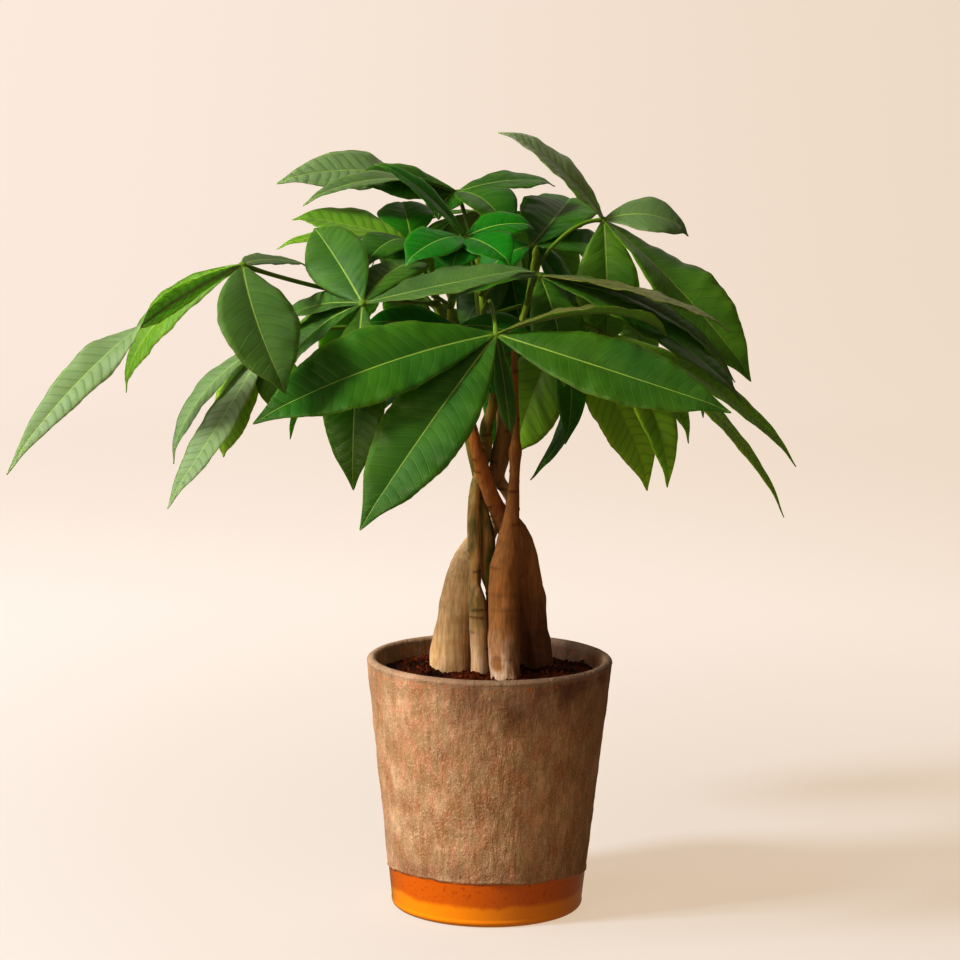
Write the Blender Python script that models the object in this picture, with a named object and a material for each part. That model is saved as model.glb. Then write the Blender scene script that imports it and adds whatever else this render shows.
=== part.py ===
# A potted money tree: five braided trunks in a tapered stoneware pot, under a crown of palmate leaves.
# Units are metres and +Z is up. The origin is the middle of the pot's underside.
# The tables below are in millimetres and are turned into metres by MM.

import math
import random

import bmesh
import bpy
import numpy as np
from mathutils import Vector

MM = 0.001
GAP = 0.3 * MM                   # clearance that every pair of touching pieces keeps

# Pot
POT_HEIGHT = 154 * MM
RIM_RADIUS = 75 * MM             # outside, at the lip
BASE_RADIUS = 58.5 * MM          # outside, where the wall meets the foot's round
FOOT_ROUND = 3.5 * MM            # radius of the round below the band
WALL = 6 * MM
FLOOR = 9 * MM
BAND_HEIGHT = 24 * MM            # the bare glaze band at the foot
SLIP = 0.8 * MM                  # the rough slip coat stands proud of the band
POT_SIDES = 48

# Soil
SOIL_DROP = 8 * MM               # from the lip down to the soil
SOIL_CROWN = 2.5 * MM            # how much the soil's middle is higher than its rim
SOIL_SIDES = 32
SOIL_CLEAR = 1.0 * MM            # between the soil's edge and the wall
HOLE_PLAY = 0.9 * MM             # a hole is this much wider than its trunk all round
HOLE_SIDES = 12

# Trunks: centre line and radius (x, y, z, r) in mm, from the foot in the soil to the shoot's tip
TRUNK_SIDES = 8
TRUNKS = {
    "trunk_left": [
        (-24, 10, 112, 12.4), (-24, 10, 146, 12.6), (-20, 11, 178, 11.6), (-15.4, 12.8, 204, 10),
        (-11.4, 16.8, 213, 9.2), (-5.4, 22.5, 222, 8), (-1, 25, 229, 6.1), (5, 25.5, 235, 4.6),
        (12, 21, 245, 3.4), (7.8, 15.5, 255, 3.4), (3, 11, 263, 4.6), (4.4, 8.5, 273, 5.6),
        (6.2, 7, 283, 5.4), (7, 7, 295, 4.4), (4, 9, 308, 3.2), (-1, 12, 330, 2.5),
        (-6, 15, 352, 2.2), (-10, 18, 374, 2.1), (-10, 20, 402, 1.9),
    ],
    "trunk_slender": [
        (-5.8, -5, 112, 5.4), (-5.8, -5, 146, 5.6), (-7, -4.4, 174, 5.5), (-7.9, -4, 188, 5.3),
        (-9.9, -2.4, 199, 3.8), (-10, -1.4, 212, 3.9), (-11, 0, 240, 3.7), (-9.6, 1.6, 258, 3.4),
        (-6.6, 2, 268, 3.5), (-4.2, 1.5, 280, 3.8), (-3.8, 0, 294, 3.8), (0, -5, 310, 2.9),
        (0, -11, 335, 2.3), (-6, -14, 362, 2), (-8, -16, 386, 1.8),
    ],
    "trunk_middle": [
        (2.5, 5, 112, 4.3), (2.5, 5, 146, 4.4), (1.6, 4, 178, 4.1), (1, 3.8, 194, 3.8),
        (-1.8, 4.2, 203, 4.1), (-2.2, 5, 212, 4.6), (-2.4, 5.8, 226, 4.8), (-4.9, 6.8, 241, 3.6),
        (-8, 8, 258, 2.8), (-13, 7.5, 280, 2.6), (-18, 6, 305, 2.4), (-27, 6, 338, 2.2),
        (-34, 4, 368, 2), (-38, 2, 392, 1.8),
    ],
    "trunk_front": [
        (9.6, -18, 112, 9.2), (9.6, -18, 146, 9.2), (8, -14, 176, 9.4), (8, -10.5, 204, 8.9),
        (8.6, -9.6, 213, 8.8), (10.2, -8.5, 223, 7.6), (12.2, -7, 242, 4.6), (13, -6, 257, 3.5),
        (13.6, -5, 266, 3), (13.8, -5, 277, 3.2), (14, -5, 290, 2.4), (13, -6, 318, 2.2),
        (13, -8, 345, 2), (20, -8, 372, 1.8), (24, -6, 398, 1.7),
    ],
    "trunk_right": [
        (27, 23, 112, 12.2), (27, 23, 146, 12.4), (25, 21.4, 168, 10.8), (23.4, 19.5, 188, 9.9),
        (20, 15.8, 206, 9.8), (16.5, 14, 219, 9.5), (12, 12.8, 230, 8.2), (7.2, 9.4, 238, 6.4),
        (2.8, 4.2, 245, 5), (-1.2, -3, 255, 4.8), (-6.4, -8, 271, 4.5), (-10.6, -8.5, 287, 3.6),
        (-17, -6, 312, 2.6), (-24, -8, 340, 2.4), (-26, -12, 366, 2), (-24, -14, 388, 1.8),
    ],
}
TRUNK_STEPS = 22                 # rings along a trunk

# Leaves
BLADE = 0.7 * MM                 # thickness of a leaflet
FOLD = math.radians(11)          # how far each half of a leaflet rises from its midrib
STALK_HALF = 1.1 * MM            # half width where a leaflet leaves the hub
TIP_HALF = 0.7 * MM
HUB_RADIUS = 2.8 * MM
PETIOLE_RADIUS = 1.3 * MM
PETIOLE_SIDES = 6
PETIOLE_STEPS = 6
STATIONS = (0.0, 0.07, 0.24, 0.44, 0.64, 0.84, 1.0)
TWIST_FROM = 0.25                # shares of the length between which a leaflet's further roll happens
TWIST_TO = 0.6

# Each leaf: the shoot and the height (mm) that its petiole leaves from, how far the petiole bows up,
# its hub (x, y, z), the way that its upper side faces, and its leaflets. A leaflet is its tip's place
# from the hub, its width, how far its midrib bows out of the leaf's face, how far it bows to its left
# (all in mm), its roll at the hub and how much it rolls further on to the tip (degrees).
LEAVES = {
    "leaf_front": ("trunk_slender", 366, 12, (1, -105, 361), (0, -0.8, 0.6), [
        (-135, -45, -46, 50, 8, -2, 0, 0), (-75, -55, -104, 50, 10, 1.5, 0, 0),
        (132, -32, -38, 42, 6, -3, 0, 0), (100, 45, -3, 34, 22, 0, -55, 0),
        (9, 24, -62, 14, 6, 0, 40, 0)]),
    "leaf_front_left": ("trunk_right", 368, 10, (-75, -100, 377), (-0.1, -0.45, 0.9), [
        (-32, 62, 40, 38, 3, 0, -22, 0), (-60, 44, -24, 30, 8, 0, 0, 0), (-48, 14, -46, 32, 8, 0, 0, 0),
        (-4, -28, -103, 38, 6, 0, 0, 0), (98, 22, 20, 34, 1, 0, -5, 0), (34, 70, 18, 30, 8, 0, 0, 0)]),
    "leaf_left": ("trunk_middle", 368, -4, (-141.4, -123, 399.8), (0.1, -0.5, 0.85), [
        (27.5, -41.2, -66.7, 47.1, 7.8, -5.9, 0, 0), (-123.6, -70.6, -108.9, 27.5, 19.6, 0, 88, -90),
        (-72.6, 43.2, -77.5, 31.4, 13.7, 0, -15, 0), (34, 84, -6, 18, 1, 6, 0, 0)]),
    "leaf_low_left": ("trunk_middle", 338, 12, (-132, -50, 349), (-0.3, -0.5, 0.8), [
        (-57, -6, -71, 24, 11, -2, 8, 0), (-56, -44, -91, 26, 3, 4.5, 0, 0),
        (-29, 16, -71, 30, 7, 3, -25, 0), (15, -6, -44, 28, 6, 0, 0, 0), (18, 50, -6, 28, 8, 0, 0, 0)]),
    "leaf_high_right": ("trunk_front", 390, 8, (65, 10, 419), (0, -0.55, 0.83), [
        (-63, -12, 54, 36, 5, -3, 12, 8), (53, 4, -8, 32, 9, 0, 5, 0),
        (90, -22, -93, 50, 6, 1, -24, 30), (4, 4, -78, 40, 6, 0, 0, 0)]),
    "leaf_middle": ("trunk_slender", 376, 2, (-18, -30, 410), (0, -0.5, 0.85), [
        (-51, -20, 45, 18, 5, 0, 0, 0), (-34, -42, -12, 34, 6, 0, 0, 0), (-7, -36, -16, 32, 4, 0, 0, 0),
        (27, -34, -12, 32, 4, 0, 0, 0), (42, 8, 7, 28, 5, 0, 0, 0)]),
    "leaf_top": ("trunk_left", 390, 3, (-23, 35, 433), (-0.05, -0.2, 0.97), [
        (-108, -30, 7, 32, 10, 0, 10, -50), (-90, -69, -3, 18, 11, 0, 4, -20),
        (60, 15, 6, 34, 4, 0, 5, 0), (32, -38, -22, 38, 8, 0, 0, 0), (-63, -35, 9, 34, 1, 0, -30, 0),
        (-12, -22, -14, 28, 4, 0, 0, 0)]),
    "leaf_right": ("trunk_front", 370, 6, (26, -50, 390), (0.1, -0.3, 0.95), [
        (112, -12, -28, 36, 5, 0, -15, 0), (122, -4, -72, 44, 10, 0, 0, 0),
        (119, 22, -62, 28, 14, 0, 0, 0), (-56, 8, -18, 32, 6, 0, 0, 0), (16, -26, -62, 36, 6, 0, 0, 0)]),
    "leaf_upper_left": ("trunk_middle", 372, 1, (-50, 4, 405), (0, -0.4, 0.9), [
        (-72, 8, 14, 34, 2, 0, 0, 0), (-79, -30, -1, 16, 6, 0, 0, 0), (-26, -50, -10, 32, 7, 0, 0, 0),
        (-8, 42, 22, 36, 5, 0, 0, 0), (-4, -16, -24, 34, 6, 0, 0, 0)]),
    "leaf_heart": ("trunk_right", 334, 4, (-22, -36, 358), (0, -0.6, 0.8), [
        (-44, -26, -46, 34, 6, 0, 0, 0), (-12, -42, -40, 34, 6, 0, 0, 0),
        (22, -40, -34, 32, 6, 0, 0, 0), (46, -14, -8, 30, 6, 0, 0, 0), (-54, -8, 3, 28, 2, 0, 0, 0)]),
    "leaf_low_right": ("trunk_front", 346, 10, (63, -15, 354), (0.4, -0.5, 0.8), [
        (119, -15, -76, 20, 12, 0, 0, 0), (110, -45, -102, 18, 16, 0, -10, 0),
        (41, -45, -86, 32, 12, 0, 0, 0), (56, -5, -65, 26, 10, 0, 0, 0)]),
    "leaf_low_back": ("trunk_left", 344, 10, (40, 24, 350), (0.1, -0.6, 0.8), [
        (56, -12, -95, 42, 8, 4, 0, 0), (4, -34, -64, 20, 6, 4, 0, 0),
        (-18, -14, -88, 15, 5, 17, 45, 0), (-26, 24, -79, 44, 6, 0, 0, 0),
        (34, 46, -52, 34, 10, 0, 0, 0)]),
    "leaf_inner": ("trunk_front", 376, 2, (22, 9, 403), (0, -0.5, 0.87), [
        (28, 20, -44, 36, 3, 0, 0, 0), (26, 87, 25, 50, 6, -4, 0, 0), (-30, -2, -22, 34, 6, 0, 0, 0),
        (66, 44, -14, 34, 8, 0, 0, 0)]),
    "leaf_core": ("trunk_left", 366, 4, (10, 68, 381), (0, -0.5, 0.85), [
        (-64, -6, -4, 40, 8, 0, -20, 0), (-8, -10, -112, 26, 6, 0, 0, 0), (8, -6, -50, 34, 6, 0, 0, 0),
        (62, 4, -38, 34, 6, 0, 0, 0), (-30, -4, -36, 38, 6, 0, 0, 0)]),
}

# Leaves of the crown's far side, set by a fan rule: shoot, height, hub, number of leaflets, longest one
BACK_LEAVES = {
    "leaf_back_left": ("trunk_middle", 362, (-66, 74, 366), 5, 118),
    "leaf_back_middle": ("trunk_left", 384, (-6, 100, 418), 6, 114),
    "leaf_back_right": ("trunk_right", 352, (76, 66, 362), 5, 102),
    "leaf_back_low_left": ("trunk_middle", 330, (-60, 78, 332), 5, 110),
    "leaf_back_low_right": ("trunk_left", 330, (46, 96, 322), 5, 98),
}
FAN_SPREAD = math.radians(150)   # from a fan's first leaflet to its last
FAN_DROOP = 0.62                 # how far a fan's leaflets fall, as a share of their length
FAN_WIDTH = 0.31                 # a leaflet's width as a share of its length
FAN_ARCH = 0.13                  # how far its midrib bows up, as a share of its length
FAN_BOW = 10                     # how far the petiole bows up, in mm
RANDOM_SEED = 7

COLOURS = {                      # base colour, roughness
    "pot": ((0.20, 0.115, 0.07), 0.75),
    "soil": ((0.035, 0.018, 0.012), 0.95),
    "trunk": ((0.23, 0.135, 0.07), 0.8),
    "leaf": ((0.035, 0.14, 0.02), 0.4),
}


def material(kind):
    """The kind's one material, made the first time that it is asked for."""
    if kind in bpy.data.materials:
        return bpy.data.materials[kind]
    colour, roughness = COLOURS[kind]
    made = bpy.data.materials.new(kind)
    made.use_nodes = True
    shader = made.node_tree.nodes["Principled BSDF"]
    shader.inputs["Base Color"].default_value = (*colour, 1.0)
    shader.inputs["Roughness"].default_value = roughness
    shader.inputs["Metallic"].default_value = 0.0
    made.diffuse_color = (*colour, 1.0)
    return made


def make_object(name, points, faces, kind=None):
    """A new object from points and faces; without a kind it is an ingredient of another."""
    mesh = bpy.data.meshes.new(name)
    mesh.from_pydata([tuple(p) for p in points], [], [tuple(f) for f in faces])
    mesh.update()
    made = bpy.data.objects.new(name, mesh)
    bpy.context.scene.collection.objects.link(made)
    if kind:
        mesh.materials.append(material(kind))
        mesh.shade_smooth()
        mesh.set_sharp_from_angle(angle=math.radians(40))
    return made


def lathe(name, profile, sides, kind=None):
    """Turn a profile about Z. It runs from the axis, up the outside, and back to the axis."""
    shape = bmesh.new()
    points = [shape.verts.new((radius, 0.0, height)) for radius, height in profile]
    edges = [shape.edges.new(pair) for pair in zip(points, points[1:])]
    bmesh.ops.spin(shape, geom=points + edges, axis=(0, 0, 1), cent=(0, 0, 0),
                   angle=math.tau, steps=sides, use_merge=True)
    bmesh.ops.remove_doubles(shape, verts=shape.verts, dist=1e-6)
    bmesh.ops.recalc_face_normals(shape, faces=shape.faces)
    made = make_object(name, [], [], kind)
    shape.to_mesh(made.data)
    shape.free()
    return made


def tube_faces(rings, sides):
    """Faces of a closed tube whose rings of points follow each other, with a fan at each end."""
    faces = []
    for ring in range(rings - 1):
        for side in range(sides):
            after = (side + 1) % sides
            low, high = ring * sides, (ring + 1) * sides
            faces.append((low + side, low + after, high + after, high + side))
    faces.append(tuple(reversed(range(sides))))
    faces.append(tuple(range((rings - 1) * sides, rings * sides)))
    return faces


def smooth_path(stations, steps):
    """Points and radii at even steps along a Catmull-Rom curve through the stations."""
    rows = np.array(stations, dtype=float) * MM
    rows = np.vstack([2 * rows[0] - rows[1], rows, 2 * rows[-1] - rows[-2]])
    path = []
    for place in np.linspace(0, len(stations) - 1, steps):
        start = min(int(place), len(stations) - 2)
        t = place - start
        a, b, c, d = rows[start:start + 4]
        path.append(0.5 * (2 * b + (c - a) * t + (2 * a - 5 * b + 4 * c - d) * t ** 2
                           + (3 * b - a - 3 * c + d) * t ** 3))
    return np.array(path)


def tube(name, path, radii, sides, kind=None):
    """A round bar along a path, its rings turned with the least twist."""
    tangents = np.gradient(path, axis=0)
    tangents /= np.linalg.norm(tangents, axis=1)[:, None]
    across = np.cross(tangents[0], (0.0, 1.0, 0.0) if abs(tangents[0][1]) < 0.9 else (1.0, 0.0, 0.0))
    points = []
    for centre, tangent, radius in zip(path, tangents, radii):
        across = across - tangent * np.dot(across, tangent)
        across /= np.linalg.norm(across)
        other = np.cross(tangent, across)
        for side in range(sides):
            angle = math.tau * side / sides
            points.append(centre + radius * (math.cos(angle) * across + math.sin(angle) * other))
    return make_object(name, points, tube_faces(len(path), sides), kind)


def wall_radius(height):
    """The pot's outside radius at a height, on its straight taper."""
    return BASE_RADIUS + (RIM_RADIUS - BASE_RADIUS) * height / POT_HEIGHT


def build_pot():
    foot = [(BASE_RADIUS - FOOT_ROUND, 0.0), (BASE_RADIUS - FOOT_ROUND * 0.3, FOOT_ROUND * 0.3),
            (wall_radius(FOOT_ROUND), FOOT_ROUND)]
    band = [(wall_radius(BAND_HEIGHT) - SLIP, BAND_HEIGHT - SLIP)]
    outside = [(wall_radius(height), height) for height in
               (BAND_HEIGHT + SLIP, POT_HEIGHT * 0.4, POT_HEIGHT * 0.65, POT_HEIGHT - WALL / 2)]
    middle = RIM_RADIUS - WALL / 2
    lip = [(middle + WALL * 0.3, POT_HEIGHT - WALL * 0.08), (middle, POT_HEIGHT),
           (middle - WALL * 0.3, POT_HEIGHT - WALL * 0.08)]
    inside = [(wall_radius(height) - WALL, height) for height in (POT_HEIGHT - WALL / 2, FLOOR + WALL)]
    floor = [(wall_radius(FLOOR) - WALL * 1.6, FLOOR)]
    profile = [(0.0, 0.0)] + foot + band + outside + lip + inside + floor + [(0.0, FLOOR)]
    return lathe("pot", profile, POT_SIDES, "pot")


def build_soil():
    """The soil fills the pot, with a low mounded top and a plain hole for each trunk."""
    top = POT_HEIGHT - SOIL_DROP
    edge = top - SOIL_CROWN
    reach = wall_radius(edge) - WALL - SOIL_CLEAR
    rings = [(reach, edge), (reach * 0.85, edge + SOIL_CROWN * 0.36), (reach * 0.62, top - SOIL_CROWN * 0.16),
             (reach * 0.31, top), (0.0, top)]
    bottom = [(0.0, FLOOR + GAP), (wall_radius(FLOOR) - WALL * 1.6 - GAP, FLOOR + GAP),
              (wall_radius(FLOOR + WALL) - WALL - GAP - SOIL_CLEAR * 0.4, FLOOR + WALL)]
    soil = lathe("soil", bottom + rings, SOIL_SIDES, "soil")
    for name, stations in TRUNKS.items():
        foot = Vector(stations[0][:3]) * MM
        wide = max(stations[0][3], stations[1][3]) * MM + HOLE_PLAY
        centres = np.array([(foot.x, foot.y, foot.z - GAP), (foot.x, foot.y, top + 20 * MM)])
        cutter = tube("hole_" + name, centres, [wide / math.cos(math.pi / HOLE_SIDES)] * 2, HOLE_SIDES)
        cutter.hide_render = True
        cutter.display_type = "WIRE"
        cut = soil.modifiers.new("hole_" + name, "BOOLEAN")
        cut.operation = "DIFFERENCE"
        cut.object = cutter
    return soil


def build_trunks():
    for name, stations in TRUNKS.items():
        path = smooth_path(stations, TRUNK_STEPS)
        tube(name, path[:, :3], path[:, 3], TRUNK_SIDES, "trunk")


def shoot_at(name, height):
    """The centre and radius of a trunk's shoot at a height."""
    path = smooth_path(TRUNKS[name], TRUNK_STEPS)
    return [float(np.interp(height, path[:, 2], path[:, column])) for column in (0, 1, 3)]


def blade_half_width(share, width):
    """Half the width of a leaflet: a narrow stalk, widest past the middle, and a drawn-out tip."""
    body = max(math.sin(math.pi * share ** 1.05), 0.0) ** 0.95
    return STALK_HALF * (1 - share) + TIP_HALF * share + (width / 2 - STALK_HALF) * body


def leaflet(name, hub, tip, facing, width, rise, swing, roll, twist):
    """A folded blade of even thickness along an arched midrib, its upper side towards facing."""
    chord = tip - hub
    left = np.cross(facing, chord)
    left /= np.linalg.norm(left)
    out = np.cross(chord, left) / np.linalg.norm(chord)
    middle = (hub + tip) / 2 + out * 2 * rise + left * 2 * swing
    points = []
    for share in STATIONS:
        centre = (1 - share) ** 2 * hub + 2 * share * (1 - share) * middle + share ** 2 * tip
        tangent = (1 - share) * (middle - hub) + share * (tip - middle)
        tangent /= np.linalg.norm(tangent)
        side = left - tangent * np.dot(left, tangent)
        side /= np.linalg.norm(side)
        normal = np.cross(tangent, side)
        way_round = min(max((share - TWIST_FROM) / (TWIST_TO - TWIST_FROM), 0.0), 1.0)
        angle = roll + twist * way_round ** 2 * (3 - 2 * way_round)
        turned = side * math.cos(angle) + normal * math.sin(angle)
        normal = np.cross(tangent, turned)
        half = blade_half_width(share, width)
        thick = BLADE * (1.7 - 0.7 * min(share / STATIONS[2], 1.0))
        reach, lift = half * math.cos(FOLD), half * math.sin(FOLD)
        for height in (thick / 2, -thick / 2):
            row = [centre + turned * reach * way + normal * (lift * abs(way) + height)
                   for way in (1, 0, -1)]
            points.extend(row if height > 0 else row[::-1])
    return make_object(name, points, leaflet_faces(len(STATIONS)))


def leaflet_faces(rows):
    """Triangles of a blade whose rows hold left, middle, right above and right, middle, left below.

    Both faces are split along the same diagonals, so that they stay apart where the blade twists.
    """
    faces = []
    for row in range(rows - 1):
        a, b = row * 6, (row + 1) * 6
        for one, two in ((0, 1), (1, 2), (2, 3), (3, 4), (4, 5), (5, 0)):
            if one % 3 == 1:
                faces += [(a + one, b + one, b + two), (a + one, b + two, a + two)]
            else:
                faces += [(a + one, b + one, a + two), (a + two, b + one, b + two)]
    last = (rows - 1) * 6
    faces += [(0, 1, 4), (0, 4, 5), (1, 2, 3), (1, 3, 4)]
    faces += [(last + 4, last + 1, last), (last + 5, last + 4, last),
              (last + 3, last + 2, last + 1), (last + 4, last + 3, last + 1)]
    return faces


def petiole(name, shoot, height, hub, bow):
    """The leaf's stalk, from the shoot's side to the hub."""
    x, y, radius = shoot_at(shoot, height * MM)
    root = np.array([x, y, height * MM])
    middle = (root + hub) / 2 + np.array([0.0, 0.0, 2 * bow])
    level = (hub - root) * (1, 1, 0)
    level /= np.linalg.norm(level)
    way = (middle - root) / np.linalg.norm(middle - root)
    clear = PETIOLE_RADIUS * math.sqrt(1 - np.dot(way, level) ** 2)
    start = root + level * (radius + GAP + clear)
    shares = np.linspace(0, 1, PETIOLE_STEPS)[:, None]
    path = (1 - shares) ** 2 * start + 2 * shares * (1 - shares) * middle + shares ** 2 * hub
    return tube(name, path, [PETIOLE_RADIUS] * PETIOLE_STEPS, PETIOLE_SIDES)


def knob(name, centre):
    """The hub that a leaf's leaflets and petiole meet in."""
    shape = bmesh.new()
    bmesh.ops.create_icosphere(shape, subdivisions=1, radius=HUB_RADIUS)
    made = make_object(name, [], [])
    shape.to_mesh(made.data)
    shape.free()
    for point in made.data.vertices:
        point.co = point.co + Vector(centre)
    return made


def outwards(made):
    """Turn a closed mesh's faces outwards."""
    shape = bmesh.new()
    shape.from_mesh(made.data)
    bmesh.ops.recalc_face_normals(shape, faces=shape.faces)
    bmesh.ops.triangulate(shape, faces=shape.faces)
    shape.to_mesh(made.data)
    shape.free()


def fuse(name, pieces, kind):
    """Join closed pieces that sink into each other in one body, by one Boolean union."""
    for piece in pieces:
        outwards(piece)
    core, others = pieces[0], pieces[1:]
    group = bpy.data.collections.new(name)
    for piece in others:
        group.objects.link(piece)
    core.name = name
    core.data.materials.append(material(kind))
    union = core.modifiers.new("union", "BOOLEAN")
    union.operation = "UNION"
    union.operand_type = "COLLECTION"
    union.collection = group
    joined = bpy.data.meshes.new_from_object(core.evaluated_get(bpy.context.evaluated_depsgraph_get()))
    core.modifiers.clear()
    core.data = joined
    joined.materials.clear()
    joined.materials.append(material(kind))
    joined.shade_smooth()
    joined.set_sharp_from_angle(angle=math.radians(40))
    for piece in others:
        bpy.data.objects.remove(piece)
    bpy.data.collections.remove(group)
    return core


def build_leaf(name, shoot, height, bow, hub, facing, rows):
    centre = np.array(hub) * MM
    pieces = [knob(name + "_hub", centre), petiole(name + "_petiole", shoot, height, centre, bow * MM)]
    for number, (dx, dy, dz, width, rise, swing, roll, twist) in enumerate(rows):
        tip = centre + np.array((dx, dy, dz)) * MM
        pieces.append(leaflet(f"{name}_{number}", centre, tip, np.array(facing), width * MM, rise * MM,
                              swing * MM, math.radians(roll), math.radians(twist)))
    return fuse(name, pieces, "leaf")


def fan_rows(shoot, hub, count, longest, chance):
    """Leaflets spread evenly about the way that the petiole points, the middle one the longest."""
    root = Vector(TRUNKS[shoot][-3][:2])
    heading = math.atan2(hub[1] - root.y, hub[0] - root.x)
    rows = []
    for number in range(count):
        share = number / (count - 1) - 0.5
        angle = heading + FAN_SPREAD * share + chance.uniform(-0.08, 0.08)
        length = longest * (1 - 0.9 * share ** 2) * chance.uniform(0.94, 1.04)
        fall = FAN_DROOP * length * chance.uniform(0.8, 1.15) * (1 - 0.5 * abs(share))
        out = math.sqrt(length ** 2 - fall ** 2)
        rows.append((out * math.cos(angle), out * math.sin(angle), -fall, length * FAN_WIDTH,
                     length * FAN_ARCH, chance.uniform(-4, 4), chance.uniform(-8, 8), 0))
    return rows


def build_leaves():
    for name, (shoot, height, bow, hub, facing, rows) in LEAVES.items():
        build_leaf(name, shoot, height, bow, hub, facing, rows)
    chance = random.Random(RANDOM_SEED)
    for name, (shoot, height, hub, count, longest) in BACK_LEAVES.items():
        rows = fan_rows(shoot, hub, count, longest, chance)
        build_leaf(name, shoot, height, FAN_BOW, hub, (0, 0, 1), rows)


def main():
    for made in list(bpy.data.objects):
        bpy.data.objects.remove(made)
    build_pot()
    build_soil()
    build_trunks()
    build_leaves()


main()
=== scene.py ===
# A potted money tree: fine leaves, bark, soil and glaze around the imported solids.
# Units are metres and +Z is up. The pot stands on the floor at the origin. Tables are in millimetres.

import math
import random
from itertools import combinations

import bpy
import numpy as np
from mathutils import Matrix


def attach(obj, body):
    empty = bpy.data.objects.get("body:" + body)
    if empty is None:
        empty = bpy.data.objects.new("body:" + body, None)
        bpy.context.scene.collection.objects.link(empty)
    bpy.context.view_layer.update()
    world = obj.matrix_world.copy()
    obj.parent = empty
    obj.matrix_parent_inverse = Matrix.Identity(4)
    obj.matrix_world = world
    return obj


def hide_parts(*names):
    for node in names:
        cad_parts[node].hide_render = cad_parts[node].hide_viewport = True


mm = 0.001
latticeSize = 32        # corners of the noise lattice along each axis
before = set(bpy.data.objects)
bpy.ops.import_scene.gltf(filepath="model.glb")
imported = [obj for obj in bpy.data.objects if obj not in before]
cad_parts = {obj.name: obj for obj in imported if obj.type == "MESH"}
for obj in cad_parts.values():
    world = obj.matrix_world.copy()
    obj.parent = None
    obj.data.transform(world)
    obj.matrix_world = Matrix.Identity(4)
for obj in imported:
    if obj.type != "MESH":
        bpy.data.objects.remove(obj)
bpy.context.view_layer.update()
print("frame loaded:", len(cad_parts), "nodes")


# ---- shared shape tools

def smoothStep(low, high, value):
    # 0 below low, 1 above high, and a cubic in between
    part = np.clip((value - low) / (high - low), 0, 1)
    return part * part * (3 - 2 * part)


def cloudNoise(places, size, seed):
    # random values from -1 to 1 on a cubic lattice, blended by a cubic between its corners
    lattice = np.random.default_rng(seed).uniform(-1, 1, (latticeSize,) * 3)
    spot = np.asarray(places) / size
    cell = np.floor(spot).astype(int)
    part = spot - cell
    part = part * part * (3 - 2 * part)
    total = np.zeros(spot.shape[:-1])
    for corner in np.ndindex(2, 2, 2):
        weight = np.prod(np.where(corner, part, 1 - part), axis=-1)
        index = (cell + corner) % latticeSize
        total += weight * lattice[index[..., 0], index[..., 1], index[..., 2]]
    return total


def cloudSum(places, layers, shift=0):
    # noises added up; each layer is its size, what multiplies Z first, its weight and its seed
    return sum(weight * cloudNoise(places * np.array([1, 1, flat]), size, seed + shift)
               for size, flat, weight, seed in layers)


def unit(vectors):
    return vectors / np.linalg.norm(vectors, axis=-1, keepdims=True)


def circle(count):
    # evenly spaced angles once round
    return np.linspace(0, math.tau, count, endpoint=False)


def turned(radius, angle, height):
    # points from a radius, an angle about Z and a height
    return np.stack(np.broadcast_arrays(radius * np.cos(angle), radius * np.sin(angle), height), -1)


def bowCurve(start, middle, end, share):
    # a quadratic curve through start and end, drawn towards middle: its points and its directions
    points = (1 - share) ** 2 * start + 2 * share * (1 - share) * middle + share ** 2 * end
    return points, unit((1 - share) * (middle - start) + share * (end - middle))


def ringFaces(rings, around, closedEnds=True):
    # quads between rings of points that run anticlockwise about the path, and a flat face at each end
    ring, side = np.meshgrid(np.arange(rings - 1), np.arange(around), indexing="ij")
    low, high, after = ring * around, (ring + 1) * around, (side + 1) % around
    quads = np.stack([low + side, low + after, high + after, high + side], axis=-1).reshape(-1, 4)
    if not closedEnds:
        return [quads]
    ends = np.arange(around)
    return [quads, ends[::-1][None], ((rings - 1) * around + ends)[None]]


def joinParts(parts):
    # one set of points, faces and values from many: each part is (points, face sets, values)
    points, faces, values = zip(*parts)
    starts = np.cumsum([0] + [len(places) for places in points])
    faces = [faceSet + start for faceSets, start in zip(faces, starts) for faceSet in faceSets]
    values = {key: np.concatenate([part[key] for part in values]) for key in values[0]}
    return np.concatenate(points), faces, values


def addObject(name, data):
    thing = bpy.data.objects.new(name, data)
    bpy.context.scene.collection.objects.link(thing)
    return thing


def makePiece(name, points, faceSets, values, material, node):
    # a mesh object from arrays; values with three columns become vectors, with four a colour
    mesh = bpy.data.meshes.new(name)
    corners = np.concatenate([faceSet.ravel() for faceSet in faceSets])
    sizes = np.concatenate([np.full(len(faceSet), faceSet.shape[1]) for faceSet in faceSets])
    mesh.vertices.add(len(points))
    mesh.vertices.foreach_set("co", np.asarray(points, dtype=np.float32).ravel())
    mesh.loops.add(len(corners))
    mesh.polygons.add(len(sizes))
    mesh.polygons.foreach_set("loop_start", np.concatenate([[0], np.cumsum(sizes)[:-1]]))
    mesh.polygons.foreach_set("vertices", corners)
    for key, data in values.items():
        kind, field = ("FLOAT_COLOR", "color") if data.shape[1] == 4 else ("FLOAT_VECTOR", "vector")
        attribute = mesh.attributes.new(key, kind, "POINT")
        attribute.data.foreach_set(field, np.asarray(data, dtype=np.float32).ravel())
    mesh.update(calc_edges=True)
    mesh.validate()
    mesh.shade_smooth()
    mesh.materials.append(material)
    piece = addObject(name, mesh)
    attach(piece, "root")
    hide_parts(node)


# ---- shared shader tools

def feed(tree, sockets, values):
    # links each value that is a socket, and sets the others
    for key, value in values.items():
        if isinstance(value, bpy.types.NodeSocket):
            tree.links.new(value, sockets[key])
        else:
            sockets[key].default_value = value


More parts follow.
